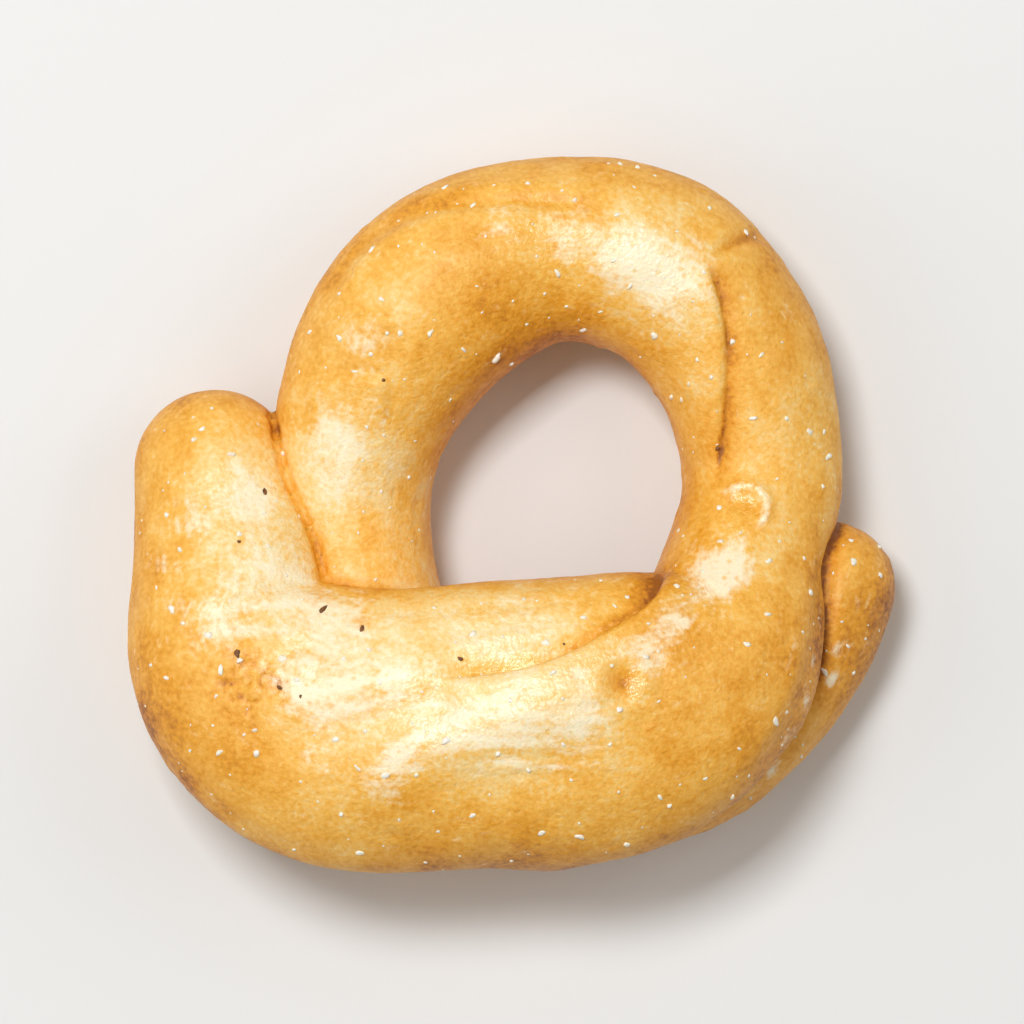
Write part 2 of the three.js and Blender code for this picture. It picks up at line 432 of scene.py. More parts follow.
# Laps: the flap lies to the left of the stroke. The first two are the long creases, and the
# other two the ridges on the left strand. (stroke, height, rounding, reach, groove)
UPPER_RIGHT_LAP = Stroke((11.2, 1.9), (11.6, 5.2), (11.8, 8.6), (11.4, 11.6), (10.6, 13.9))
FLAP_EDGE = Stroke(
    (8.6, -2.9), (7.6, -4.7), (5.3, -6.3), (2.9, -7.6), (0.5, -8.4), (-2.0, -8.8), (-4.4, -9.0)
)
LAPS = [
    (UPPER_RIGHT_LAP, 0.30, 0.6, 2.4, 0.16),
    (FLAP_EDGE, 0.46, 0.8, 2.6, 0.14),
    (Stroke((-6.2, 10.6), (-8.4, 10.9), (-10.6, 10.2)), 0.26, 0.7, 1.6, 0.05),
    (Stroke((-6.4, 7.2), (-9.0, 7.5), (-11.8, 7.0)), 0.30, 0.7, 1.8, 0.05),
]

# Grooves, and one raised band, whose depth is negative. The first is the hook over the right
# crease and the second is the groove along the far outside. (stroke, depth, half width)
GROOVES = [
    (Stroke((14.6, 15.3), (13.0, 15.1), (10.9, 14.1)), 0.20, 0.40),
    (Stroke((-11.5, 9.8), (-7.6, 15.3), (-3.3, 16.8), (1.9, 17.0), (5.9, 16.5)), 0.22, 0.42),
    (Stroke((-8.0, -5.6), (-3.0, -5.3), (3.0, -4.9), (8.0, -3.8)), 0.05, 0.30),
    (Stroke((-5.0, -6.8), (-0.5, -6.2), (4.0, -5.5), (7.6, -4.2)), 0.06, 0.32),
    (Stroke((-1.5, -7.6), (2.2, -6.6), (5.5, -5.4), (7.6, -4.4)), 0.05, 0.30),
    (Stroke((-17.5, -2.0), (-14.5, -3.6), (-10.6, -4.2), (-8.2, -4.8)), 0.07, 0.35),
    (Stroke((-16.2, -9.7), (-14.0, -8.6), (-12.2, -7.6), (-9.8, -7.2)), 0.12, 0.45),
    (Stroke((2.2, -10.6), (4.4, -10.5), (7.6, -9.9)), 0.07, 0.35),
    (Stroke((7.3, -7.2), (8.2, -8.7), (8.0, -10.4)), 0.06, 0.35),
    (Stroke((-2.6, -13.6), (1.0, -13.2), (5.0, -13.5)), 0.04, 0.30),
    (Stroke((-10.0, -16.2), (-4.8, -13.3), (0.0, -11.3), (6.4, -9.6)), -0.26, 1.5),
    (Stroke((-15.0, -13.2), (-9.0, -11.6), (-5.0, -10.4), (-2.5, -9.8)), 0.14, 1.0),
    (Stroke((18.0, -0.5), (17.4, -3.4), (16.6, -7.4), (15.3, -11.6), (12.6, -15.6)), 0.20, 0.55),
]

# How many of the laps are long creases, whose edges are drawn fine and browned.
CREASES = 2

GATHER_REACH = 1.1
GATHER_POWER = 0.6
TOP_STARTS = 3.5
TOP_FULL = 5.5


def gather_at_laps(points):
    """Draws the mesh's points towards each crease, so that its edge is finely divided."""
    points = points.copy()
    for stroke, *_ in LAPS[:CREASES]:
        near, foot, _, gap = stroke.measure(points)
        share = np.clip(np.abs(gap) / GATHER_REACH, 1e-6, 1.0)
        keep = mix(1.0, share**GATHER_POWER, smooth(points[near, 2], TOP_STARTS, TOP_FULL))
        points[near, :2] = foot + (points[near, :2] - foot) * keep[:, None]
    return points


# ---- The skin's mesh ----

GRID_STEP = 0.465
GRID_MARGIN = 1.6
GRADIENT_STEP = 0.02


def coarse_quads():
    """Quads over the skin, from a voxel grid of the field."""
    low = np.array(cad_low) / MM - GRID_MARGIN
    high = np.array(cad_high) / MM + GRID_MARGIN
    counts = np.ceil((high - low) / GRID_STEP).astype(int) + 1
    axes = [low[k] + GRID_STEP * np.arange(counts[k]) for k in range(3)]
    points = np.stack(np.meshgrid(*axes, indexing="ij"), axis=-1).reshape(-1, 3)
    values = dough_field(points).reshape(counts).astype(np.float32)
    grid = openvdb.FloatGrid(background=3.0)
    grid.copyFromArray(values)
    places, quads = grid.convertToQuads(0.0)
    return places * GRID_STEP + low, quads


def unit(vectors):
    return vectors / np.maximum(np.linalg.norm(vectors, axis=1, keepdims=True), 1e-9)


def field_normals(points):
    """The field's unit gradient, by central differences."""
    slope = np.empty_like(points)
    for axis in range(3):
        shift = np.zeros(3)
        shift[axis] = GRADIENT_STEP
        slope[:, axis] = dough_field(points + shift) - dough_field(points - shift)
    return unit(slope)


def settle_on_skin(points, rounds):
    """Moves points onto the field's exact zero."""
    for _ in range(rounds):
        points = points - field_normals(points) * dough_field(points)[:, None]
    return points


def split_quads(points, quads):
    """Each quad becomes four, with new points at edge middles and quad centres."""
    edges = np.stack([quads, np.roll(quads, -1, axis=1)], axis=2).reshape(-1, 2)
    edges.sort(axis=1)
    unique, where = np.unique(edges, axis=0, return_inverse=True)
    middle = where.reshape(-1, 4) + len(points)
    centre = len(points) + len(unique) + np.arange(len(quads))
    places = [points, points[unique].mean(1), points[quads].mean(1)]
    split = [
        np.stack([quads[:, k], middle[:, k], centre, middle[:, k - 1]], axis=1) for k in range(4)
    ]
    return np.vstack(places), np.stack(split, axis=1).reshape(-1, 4)


def mesh_normals(points, quads):
    """Unit normals at the points, from the quads round each."""
    across = points[quads[:, 2]] - points[quads[:, 0]]
    up = points[quads[:, 3]] - points[quads[:, 1]]
    facing = np.cross(across, up)
    total = np.zeros_like(points)
    for corner in range(4):
        for axis in range(3):
            total[:, axis] += np.bincount(quads[:, corner], facing[:, axis], len(points))
    return unit(total)


# ---- Where the rope lies on the skin ----

# A crevice is where two lengths far apart along the rope lie equally near, in mm.
CREVICE_WIDTH = 0.34
CREVICE_DEPTH = 0.24
PINCHED_FROM = 0.5
PINCHED_TO = 0.15
APART_FROM = 10.0
APART_TO = 20.0


def bell(distance, width):
    """1 at no distance, falling smoothly to about a third at the width."""
    return np.exp(-((distance / width) ** 2))


def rope_places(points):
    """Distance along the rope and round it from the top, in mm, and 1 deep in a crevice."""
    lower_gap, lower_travel, lower_angle = lower_rope.field(points)
    upper_gap, upper_travel, upper_angle = upper_rope.field(points)
    lower_nearer = lower_gap < upper_gap
    travel = np.where(lower_nearer, lower_travel, upper_travel)
    angle = np.where(lower_nearer, lower_angle, upper_angle)
    pinched = smooth(np.minimum(lower_gap, upper_gap), PINCHED_FROM, PINCHED_TO)
    apart = smooth(np.abs(lower_travel - upper_travel), APART_FROM, APART_TO)
    crevice = bell(lower_gap - upper_gap, CREVICE_WIDTH) * pinched * apart
    return travel, angle * LOWER_RUN_RADIUS, crevice


def fading(share, start, end):
    """1 along a stroke, falling to 0 at its ends over these shares of its length."""
    return smooth(share, 0.0, start) * smooth(share, 1.0, 1.0 - end)


def spread_from(points, x, y):
    return np.hypot(points[:, 0] - x, points[:, 1] - y)


# ---- Relief: what the surface does at less than a millimetre ----

# Beside a lap's edge: the groove's half width on the flap and off it, and the hollow off it.
GROOVE_ON_FLAP = 0.2
GROOVE_OFF_FLAP = 0.45
HOLLOW_SHARE = 0.3
HOLLOW_WIDTH = 1.3

# A groove's or a pore's raised banks, as a share of its depth.
BANK_SHARE = 0.35

# The shares of a stroke's length over which its mark fades in and out.
LAP_ENDS = (0.14, 0.18)
GROOVE_ENDS = (0.2, 0.2)
CREASE_ENDS = (0.1, 0.15)
FAR_GROOVE_ENDS = (0.15, 0.15)
SEAM_ENDS = (0.1, 0.15)
WISP_ENDS = (0.3, 0.3)

# How far up the skin faces, from -1 to 1, where marks drawn on the top begin and are full, and
# the same for marks that are everywhere off the tray.
TOP_FACING = (0.0, 0.35)
FREE_FACING = (-0.85, -0.4)

# Patches of skin: (x, y, radius)
RING_BLISTER = (12.8, 0.3, 1.15)
ROUND_DIMPLE = (5.9, -9.2, 0.95)
CRACKLED_PATCH = (-14.0, -9.3, 1.9)

BLISTER_RIM_LIFT = 0.26
BLISTER_RIM_WIDTH = 0.3
BLISTER_RIM_OPENING = (-0.7, 0.4)
BLISTER_HOLLOW = 0.14
BLISTER_HOLLOW_SHARE = 0.7
DIMPLE_DEPTH = 0.26
DIMPLE_RIM_LIFT = 0.11
DIMPLE_RIM_WIDTH = 0.4
DIMPLE_RIM_SHARE = 1.35
CRACK_DEPTH = 0.3
CRACK_SIZE = 0.75
CRACK_SHIFT = 4.4
CRACK_WIDTH = 0.16

# Pores and small blisters, no lower than where the skin faces this far down, with their radii
# and how deep or high they are. A pore's hollow and rim are these shares of its radius.
PORES = 150
BLISTERS = 170
LOWEST_FACING = -0.2
SPOT_SIZES = (0.2, 0.5)
SPOT_LIFTS = (0.03, 0.07)
PORE_HOLLOW, PORE_RIM, PORE_RIM_WIDTH = 0.8, 1.3, 0.5

# Stretch marks: how noise is drawn out along the rope and round it, how high they are, and the
# noise that leaves them in some places only.
STRETCH_ALONG = 0.22
STRETCH_AROUND = 1.7
STRETCH_LIFT = 0.035
STRETCH_PLACES = (6.5, 1.7)
STRETCH_WINDOW = (-0.2, 0.5)

FINE_WAVES = [(0.62, 5.5, 0.012), (1.7, 2.5, 0.03), (3.1, 8.8, 0.05)]


def lap_relief(points):
    """Each lap's raised flap, the groove at its edge and the hollow outside it."""
    relief = np.zeros(len(points))
    for stroke, height, rounding, reach, groove in LAPS:
        near, _, share, gap = stroke.measure(points)
        on_flap = np.maximum(gap, 0.0)
        edge = np.sqrt(1.0 - (1.0 - np.clip(on_flap / rounding, 0.0, 1.0)) ** 2)
        flap = height * edge * np.exp(-on_flap / reach)
        sunk = groove * bell(gap, np.where(gap > 0, GROOVE_ON_FLAP, GROOVE_OFF_FLAP))
        hollow = HOLLOW_SHARE * height * np.where(gap < 0, bell(gap, HOLLOW_WIDTH), 0.0)
        relief[near] += (flap - sunk - hollow) * fading(share, *LAP_ENDS)
    return relief


def groove_relief(points):
    """Each groove with its low raised banks."""
    relief = np.zeros(len(points))
    for stroke, depth, width in GROOVES:
        near, _, share, gap = stroke.measure(points)
        banks = BANK_SHARE * bell(np.abs(gap) - 2 * width, width)
        relief[near] -= depth * fading(share, *GROOVE_ENDS) * (bell(gap, width) - banks)
    return relief


def blister_rim(points):
    """1 on the blister's raised rim, which is open to the lower left."""
    x, y, radius = RING_BLISTER
    gap = spread_from(points, x, y)
    toward = (points[:, 0] - x + points[:, 1] - y) / np.maximum(gap, 0.1)
    return bell(gap - radius, BLISTER_RIM_WIDTH) * smooth(toward, *BLISTER_RIM_OPENING)


def crackling(points):
    """1 in the fine broken cracks of the crackled patch."""
    x, y, radius = CRACKLED_PATCH
    crackle = np.abs(noise(points, CRACK_SIZE, CRACK_SHIFT))
    return bell(spread_from(points, x, y), radius) * bell(crackle, CRACK_WIDTH)


def patch_relief(points):
    """The blister, the dimple and the crackled patch."""
    x, y, radius = RING_BLISTER
    relief = BLISTER_RIM_LIFT * blister_rim(points)
    relief -= BLISTER_HOLLOW * bell(spread_from(points, x, y), BLISTER_HOLLOW_SHARE * radius)
    x, y, radius = ROUND_DIMPLE
    gap = spread_from(points, x, y)
    rim = bell(gap - DIMPLE_RIM_SHARE * radius, DIMPLE_RIM_WIDTH)
    relief += DIMPLE_RIM_LIFT * rim - DIMPLE_DEPTH * bell(gap, radius)
    return relief - CRACK_DEPTH * crackling(points)


def scattered_relief(points, normals):
    """Burst pores and small blisters, strewn over the skin away from the tray."""
    relief = np.zeros(len(points))
    able = np.flatnonzero(normals[:, 2] > LOWEST_FACING)
    for number in range(PORES + BLISTERS):
        centre = points[dice.choice(able)]
        size, lift = dice.uniform(*SPOT_SIZES), dice.uniform(*SPOT_LIFTS)
        near = np.flatnonzero((np.abs(points - centre) < 3 * size).all(1))
        gap = np.linalg.norm(points[near] - centre, axis=1)
        if number < PORES:
            rim = BANK_SHARE * bell(gap - PORE_RIM * size, PORE_RIM_WIDTH * size)
            relief[near] += lift * (rim - bell(gap, PORE_HOLLOW * size))
        else:
            relief[near] += lift * bell(gap, size)
    return relief


def grain_relief(points, travel, around):
    """Fine unevenness everywhere, and stretch marks that follow the rope in places."""
    level = np.full(len(points), 0.5)
    drawn_out = np.stack([travel * STRETCH_ALONG, around * STRETCH_AROUND, level], axis=1)
    stretch = noise(drawn_out, 1.0) * smooth(noise(points, *STRETCH_PLACES), *STRETCH_WINDOW)
    return waves(points, FINE_WAVES) + STRETCH_LIFT * stretch


def all_relief(points, normals, travel, around, crevice):
    """Height to add along each normal, in mm. The tray side keeps flat."""
    top = smooth(normals[:, 2], *TOP_FACING)
    free = smooth(normals[:, 2], *FREE_FACING)
    drawn = lap_relief(points) + groove_relief(points) + patch_relief(points)
    drawn -= CREVICE_DEPTH * crevice
    strewn_over = scattered_relief(points, normals) + grain_relief(points, travel, around)
    return drawn * top + strewn_over * free


# ---- Specks: (x, y, half length, half width) ----

# The loose white crumb by the hole's rim, and the bran that shows dark in the dough.
CRUMBS = [(-0.6, 8.3, 0.42, 0.2), (0.2, 8.0, 0.18, 0.13)]
BRAN = [
    (-13.4, 1.3, 0.22, 0.14),
    (-14.8, -1.5, 0.13, 0.1),
    (-10.5, -5.1, 0.34, 0.15),
    (-8.3, -6.1, 0.25, 0.12),
    (-15.2, -7.7, 0.24, 0.18),
    (-2.6, -7.7, 0.16, 0.12),
    (11.4, 3.3, 0.22, 0.11),
    (-6.8, 7.2, 0.14, 0.1),
    (-12.6, -9.2, 0.16, 0.1),
    (2.9, -6.9, 0.09, 0.07),
    (-11.6, -9.9, 0.1, 0.08),
]

# ---- Tints ----

# More or less baked places, partly painted light: (x, y, radius, amount)
BAKED_AND_SHADED_PLACES = [
    (-18.5, -12.5, 5.0, 0.24),
    (-20.0, 4.0, 2.6, 0.08),
    # Painted shade: the lower tip's bulge, which lies in the upper run's shadow.
    (20.0, -6.0, 3.6, 0.34),
    (15.5, 11.0, 4.0, 0.10),
    # Darker along the lower right and the bottom edge: partly browning, partly painted shade.
    (12.0, -10.0, 5.0, 0.20),
    (0.0, -18.0, 6.0, 0.20),
    (2.0, 9.8, 3.6, 0.18),
    (-8.0, -1.8, 2.6, 0.16),
    (7.6, -4.3, 1.6, 0.16),
    (-9.6, 6.8, 2.2, 0.12),
    (-2.0, 12.6, 3.4, 0.22),
    # The paler places below lie mostly on crowns and are partly painted highlight.
    (-9.3, 2.4, 3.2, -0.30),
    (-14.0, 1.5, 2.6, -0.26),
    (-12.5, -4.4, 4.2, -0.32),
    (-6.0, -6.2, 3.6, -0.26),
    (1.0, -6.2, 4.6, -0.24),
    (-1.0, -11.4, 4.6, -0.18),
    (-1.0, -14.2, 2.4, -0.20),
    (5.0, -11.2, 2.2, -0.10),
    (-8.0, 13.0, 2.6, -0.08),
    (-5.4, 1.6, 1.8, -0.07),
    (16.6, 4.6, 2.8, -0.14),
    (9.6, 4.8, 1.8, -0.10),
    (7.0, 13.6, 3.6, -0.22),
    (12.2, -2.6, 3.0, -0.12),
    (-1.0, 14.4, 4.0, -0.10),
]

# Floured places, many also painted highlight on glossy crowns: (x, y, radius, amount)
FLOUR_AND_HIGHLIGHT_PLACES = [
    (-17.6, -0.3, 1.3, 0.6),
    (-14.3, 0.8, 1.6, 0.85),
    (-19.3, -2.9, 0.7, 0.5),
    (-16.3, -6.0, 1.8, 0.6),
    (-13.6, -3.2, 2.6, 0.55),
    (-11.0, -5.6, 2.2, 0.55),
    (-8.8, -6.2, 1.8, 0.45),
    (-9.2, -9.9, 2.8, 0.7),
    (-5.6, -8.9, 1.8, 0.5),
    (-11.8, -9.2, 1.4, 0.5),
    (-7.4, -14.9, 1.0, 0.6),
    (-6.2, -13.0, 1.3, 0.65),
    (-3.3, -11.6, 1.8, 0.75),
    (0.2, -11.3, 1.9, 0.8),
    (3.6, -11.2, 1.7, 0.85),
    (-11.1, -13.1, 0.4, 0.6),
    (-10.1, -13.8, 0.35, 0.6),
    (4.0, -8.7, 0.9, 0.5),
    (5.9, -9.2, 0.8, -0.5),
    (7.4, -8.0, 1.1, 0.75),
    (8.7, -5.9, 1.1, 0.7),
    (11.1, -3.4, 1.5, 1.25),
    (12.3, -2.6, 1.0, 0.7),
    (1.0, -6.0, 2.8, 0.35),
    (8.6, 12.6, 2.1, 1.0),
    (6.2, 14.2, 2.0, 0.9),
    (2.8, 15.2, 1.5, 0.55),
    (-0.6, 15.6, 1.1, 0.4),
    (-9.4, 4.0, 1.9, 0.85),
    (-8.0, 9.4, 1.2, 0.7),
    (-9.8, 1.0, 1.6, 0.4),
    (17.6, -9.2, 0.5, 0.9),
    (17.9, -7.6, 0.4, 0.7),
    (16.2, -10.4, 0.35, 0.7),
    (15.5, -12.2, 0.4, 0.7),
    (14.3, -14.3, 0.4, 0.6),
    # Painted shade: greys the lower tip's bulge.
    (19.5, -6.0, 3.5, 0.12),
]

# Wisps of flour, partly painted highlight: (line, width, amount)
FLOUR_AND_HIGHLIGHT_WISPS = [
    (Stroke((-8.4, -16.4), (-6.6, -13.4), (-3.6, -11.3), (-0.5, -9.9), (4.0, -9.0)), 0.45, 0.35),
    (Stroke((-7.2, -16.6), (-5.4, -13.9), (-2.6, -12.4), (1.0, -11.6)), 0.3, 0.35),
    (Stroke((-2.4, -13.4), (1.0, -13.6), (4.4, -14.0)), 0.16, 0.75),
    (Stroke((-3.4, -12.6), (0.5, -12.4), (3.6, -12.7)), 0.25, 0.35),
    (Stroke((-9.6, -4.4), (-13.0, -3.2), (-17.4, -2.0)), 0.22, 0.4),
    (Stroke((-9.8, -5.0), (-13.5, -5.1), (-17.4, -5.6)), 0.25, 0.4),
    (Stroke((-11.6, -7.0), (-14.2, -6.4), (-17.4, -6.8)), 0.3, 0.35),
    (Stroke((-13.0, -10.8), (-9.0, -9.3), (-4.4, -8.5)), 0.35, 0.4),
    (Stroke((-12.0, -11.6), (-8.6, -10.6), (-4.8, -9.6)), 0.25, 0.4),
    (Stroke((-15.6, 4.6), (-14.6, 1.6), (-12.6, -1.6)), 0.4, 0.3),
    (Stroke((-17.4, 4.0), (-16.6, 1.4), (-15.4, -1.6)), 0.25, 0.25),
    (Stroke((4.2, -7.9), (6.4, -7.3), (8.6, -5.8)), 0.35, 0.45),
]

# Flour gathered along the seam between the upper run and the lower tip.
SEAM_LINE = Stroke(
    (18.0, -0.5), (17.6, -2.6), (17.0, -5.9), (16.2, -9.4), (14.3, -13.8), (11.2, -16.7)
)
SEAM_WIDTH = 0.4
SEAM_FLOUR = 0.5
SEAM_BREAKS = (1.1, 7.3)
SEAM_WINDOW = (-0.1, 0.3)
# The blister's whitened rim is a painted highlight.
RIM_HIGHLIGHT = 0.8
FLOUR_AND_HIGHLIGHT_FACING = (0.0, 0.5)

# Where the crust is smooth enough to shine: (x, y, radius, amount)
SHINING_PLACES = [
    (7.6, 13.6, 4.0, 1.0),
    (1.0, 15.0, 3.0, 0.7),
    (-9.4, 3.4, 3.0, 0.8),
    (-8.2, 9.4, 1.8, 0.6),
    (10.8, -3.0, 3.0, 1.0),
    (12.8, 1.0, 1.8, 0.9),
    (-3.0, -11.0, 5.5, 0.9),
    (6.0, -9.0, 3.5, 0.9),
    (-12.5, -6.5, 4.5, 0.8),
    (-15.5, 1.0, 2.6, 0.6),
    (0.0, -6.0, 4.0, 0.5),
]

# How brown the crust is on top, how much darker at its sides, and in each kind of feature.
TOP_TONE = 0.40
# The darker sides are painted shade, and on the underside also the tray's browning.
SIDE_SHADE_TONE = 0.32
SIDE_POWER = 0.8
# The crevice's darkening is painted shade.
CREVICE_SHADE = 0.5
HOOK_TONE = 0.32
FAR_GROOVE_TONE = 0.14
DIMPLE_TONE = 0.5
PATCH_TONE = 0.1
CRACK_TONE = 0.5
BLISTER_TONE = 0.26
BRAN_HALO_TONE = 0.22

# Beside a crease: (amount, half width) of a broad and a thin painted shade off the flap, and
# of the painted shade line on its very edge. The widths of the other darkened lines are in mm
# too.
BROAD_SHADE = (0.26, 0.9)
THIN_SHADE = (0.12, 0.28)
EDGE_SHADE = (0.3, 0.1)
HOOK_WIDTH = 0.24
FAR_GROOVE_OUTSIDE = 1.2
FAR_GROOVE_INSIDE = 0.3

# How wide a browned patch is, as a share of the patch's own radius or the bran's half length.
DIMPLE_SPREAD = 0.75
PATCH_SPREAD = 0.8
BRAN_HALO_SPREAD = 2.2

# How far up the skin faces where these begin and are full.
BAKED_AND_SHADED_FACING = (-0.2, 0.3)
CREASE_FACING = (0.1, 0.4)
HOOK_FACING = (0.15, 0.5)

TONE_WAVES = [(7.5, 3.1, 0.07), (2.6, 9.2, 0.06)]
SHINE_WAVES = [(3.3, 6.1, 0.3), (1.2, 1.9, 0.2)]


def strewn(points, places):
    """The amounts of round soft-edged places, added up at each point."""
    total = np.zeros(len(points))
    for x, y, radius, amount in places:
        total += amount * bell(spread_from(points, x, y), radius)
    return total


def crease_shading(points, normals):
    """Painted shade beside each long crease: broadly off the flap, thinly on its very edge."""
    tone = np.zeros(len(points))
    for stroke, *_ in LAPS[:CREASES]:
        near, _, share, gap = stroke.measure(points)
        broad, thin, edge = (
            amount * bell(gap, width) for amount, width in (BROAD_SHADE, THIN_SHADE, EDGE_SHADE)
        )
        ends = fading(share, *CREASE_ENDS) * smooth(normals[near, 2], *CREASE_FACING)
        tone[near] += np.where(gap < 0, broad + thin, edge) * ends
    return tone


def groove_darkening(points, normals):
    """Darker in the hook's groove, and outside the groove along the far outside."""
    tone = np.zeros(len(points))
    near, _, share, gap = GROOVES[0][0].measure(points)
    ends = fading(share, *GROOVE_ENDS) * smooth(normals[near, 2], *HOOK_FACING)
    tone[near] += HOOK_TONE * bell(gap, HOOK_WIDTH) * ends
    near, _, share, gap = GROOVES[1][0].measure(points)
    rim = bell(gap, np.where(gap > 0, FAR_GROOVE_OUTSIDE, FAR_GROOVE_INSIDE))
    tone[near] += FAR_GROOVE_TONE * rim * fading(share, *FAR_GROOVE_ENDS)
    return tone


def patch_darkening(points):
    """Darker in the dimple, the crackled patch, the blister and round each bran fleck."""
    browned = [
        (*ROUND_DIMPLE, DIMPLE_SPREAD, DIMPLE_TONE),
        (*CRACKLED_PATCH, PATCH_SPREAD, PATCH_TONE),
        (*RING_BLISTER, PATCH_SPREAD, BLISTER_TONE),
        *((x, y, length, BRAN_HALO_SPREAD, BRAN_HALO_TONE) for x, y, length, _ in BRAN),
    ]
    places = [(x, y, radius * share, amount) for x, y, radius, share, amount in browned]
    return strewn(points, places) + CRACK_TONE * crackling(points)


def browning_and_shade(points, normals):
    """How dark the crust is, from 0, pale dough, to 1, dark brown: browning and painted shade."""
    # The sides are coloured darker: painted shade, and on the underside also the tray's browning.
    side = np.clip(1.0 - normals[:, 2], 0.0, 1.0) ** SIDE_POWER
    tone = TOP_TONE + SIDE_SHADE_TONE * side + waves(points, TONE_WAVES)
    tone += strewn(points, BAKED_AND_SHADED_PLACES) * smooth(normals[:, 2], *BAKED_AND_SHADED_FACING)
    tone += crease_shading(points, normals) + groove_darkening(points, normals)
    return tone + patch_darkening(points)


def flour_and_highlights(points, normals):
    """Flour and painted highlight: in patches, on the blister's rim, in wisps and on the seam."""
    near, _, share, gap = SEAM_LINE.measure(points)
    flour_and_highlight = strewn(points, FLOUR_AND_HIGHLIGHT_PLACES) + RIM_HIGHLIGHT * blister_rim(points)
    broken = smooth(noise(points[near], *SEAM_BREAKS), *SEAM_WINDOW)
    flour_and_highlight[near] += SEAM_FLOUR * bell(gap, SEAM_WIDTH) * broken * fading(share, *SEAM_ENDS)
    for stroke, width, amount in FLOUR_AND_HIGHLIGHT_WISPS:
        near, _, share, gap = stroke.measure(points)
        flour_and_highlight[near] += amount * bell(gap, width) * fading(share, *WISP_ENDS)
    return flour_and_highlight * smooth(normals[:, 2], *FLOUR_AND_HIGHLIGHT_FACING)


def shining(points):
    """How smooth the crust is, from 0, dull, to 1, glazed."""
    return np.clip(strewn(points, SHINING_PLACES) + waves(points, SHINE_WAVES), 0.0, 1.0)


# ---- Pieces ----

# A speck sits on the highest skin point within this reach of its place.
SEAT_REACH = 0.3

# Salt: how many grains, their radii in mm, how far apart they lie, the least and most that a
# grain's three half sizes are of its radius, and how much likelier they are along the seam.
SALT_GRAINS = 320
SALT_TRIES = 6000
SALT_SIZES = (0.06, 0.19)
SALT_APART = 0.9
SALT_APART_SPREAD = (0.35, 2.4)
SALT_LEAST_SHAPE = (0.8, 0.7, 0.5)
SALT_MOST_SHAPE = (1.7, 1.1, 0.9)
SALTED_FACING = (0.1, 0.8)
SEAM_SALT = 7.0
SEAM_SALT_WIDTH = 0.7

# How far chips are sunk, as a share of their thickness, and how lumpy they are.
SALT_SINK, SALT_LUMPS = 0.2, 0.6
BRAN_SINK, BRAN_LUMPS = 0.1, 0.5
LUMPS_ACROSS = 0.9
LUMPS_SHIFT = 11.0
LUMPS_SHIFT_STEP = 3.7
BRAN_THICKNESS = 0.5


def new_piece(name, points, faces, material):
    """A smooth mesh piece with the given material, which rides on the part."""
    mesh = bpy.data.meshes.new(name)
    mesh.from_pydata((points * MM).tolist(), [], faces.tolist())
    mesh.polygons.foreach_set("use_smooth", np.ones(len(faces), bool))
    mesh.update()
    mesh.materials.append(material)
    piece = bpy.data.objects.new(name, mesh)
    bpy.context.scene.collection.objects.link(piece)
    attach(piece, "root")
    return piece


def add_attribute(piece, name, kind, values):
    attribute = piece.data.attributes.new(name, kind, "POINT")
    key = "vector" if kind == "FLOAT_VECTOR" else "value"
    attribute.data.foreach_set(key, np.ascontiguousarray(values, np.float32).ravel())


def round_pebble():
    """The points and triangles of a small ball."""
    ball = bmesh.new()
    bmesh.ops.create_icosphere(ball, subdivisions=2, radius=1.0)
    points = np.array([vertex.co[:] for vertex in ball.verts])
    triangles = np.array([[vertex.index for vertex in face.verts] for face in ball.faces])
    ball.free()
    return points, triangles


def turned(axis, spin):
    """A frame whose third direction is axis, spun about it by an angle."""
    helper = np.array([1.0, 0.0, 0.0]) if abs(axis[0]) < 0.8 else np.array([0.0, 1.0, 0.0])
    side = np.cross(axis, helper)
    side /= np.linalg.norm(side)
    other = np.cross(axis, side)
    first = side * math.cos(spin) + other * math.sin(spin)
    return np.stack([first, np.cross(axis, first), axis])


def skin_at(points, x, y):
    """The number of the highest skin point over a place."""
    gap = spread_from(points, x, y)
    return int(np.argmax(np.where(gap < SEAT_REACH, points[:, 2], -np.inf)))


def scatter_salt(points, normals):
    """Skin point numbers and radii for the salt, nowhere two grains close together."""
    chance = smooth(normals[:, 2], *SALTED_FACING)
    near, _, _, gap = SEAM_LINE.measure(points)
    chance[near] *= 1.0 + SEAM_SALT * bell(gap, SEAM_SALT_WIDTH)
    order = dice.choice(len(points), SALT_TRIES, replace=False, p=chance / chance.sum())
    chosen = []
    for number in order:
        room = SALT_APART * dice.uniform(*SALT_APART_SPREAD)
        gaps = np.linalg.norm(points[chosen] - points[number], axis=1)
        if (gaps > room).all():
            chosen.append(number)
        if len(chosen) == SALT_GRAINS:
            break
    sizes = mix(*SALT_SIZES, dice.uniform(size=len(chosen)) ** 2)
    return chosen, sizes


def chips(points, normals, seats, halves, sink, roughness):
    """Many small chips in one mesh: each sits at a skin point, with three half sizes."""
    ball, triangles = round_pebble()
    all_points, all_triangles = [], []
    for count, (seat, half) in enumerate(zip(seats, halves)):
        frame_here = turned(normals[seat], dice.uniform(0.0, 2 * math.pi))
        shift = LUMPS_SHIFT + LUMPS_SHIFT_STEP * count
        lumps = 1.0 + roughness * noise(ball * LUMPS_ACROSS, 1.0, shift)
        shape = (ball * lumps[:, None] * half) @ frame_here
        all_points.append(points[seat] + shape - normals[seat] * half[2] * sink)
        all_triangles.append(triangles + count * len(ball))
    return np.vstack(all_points), np.vstack(all_triangles)


# ---- Materials ----


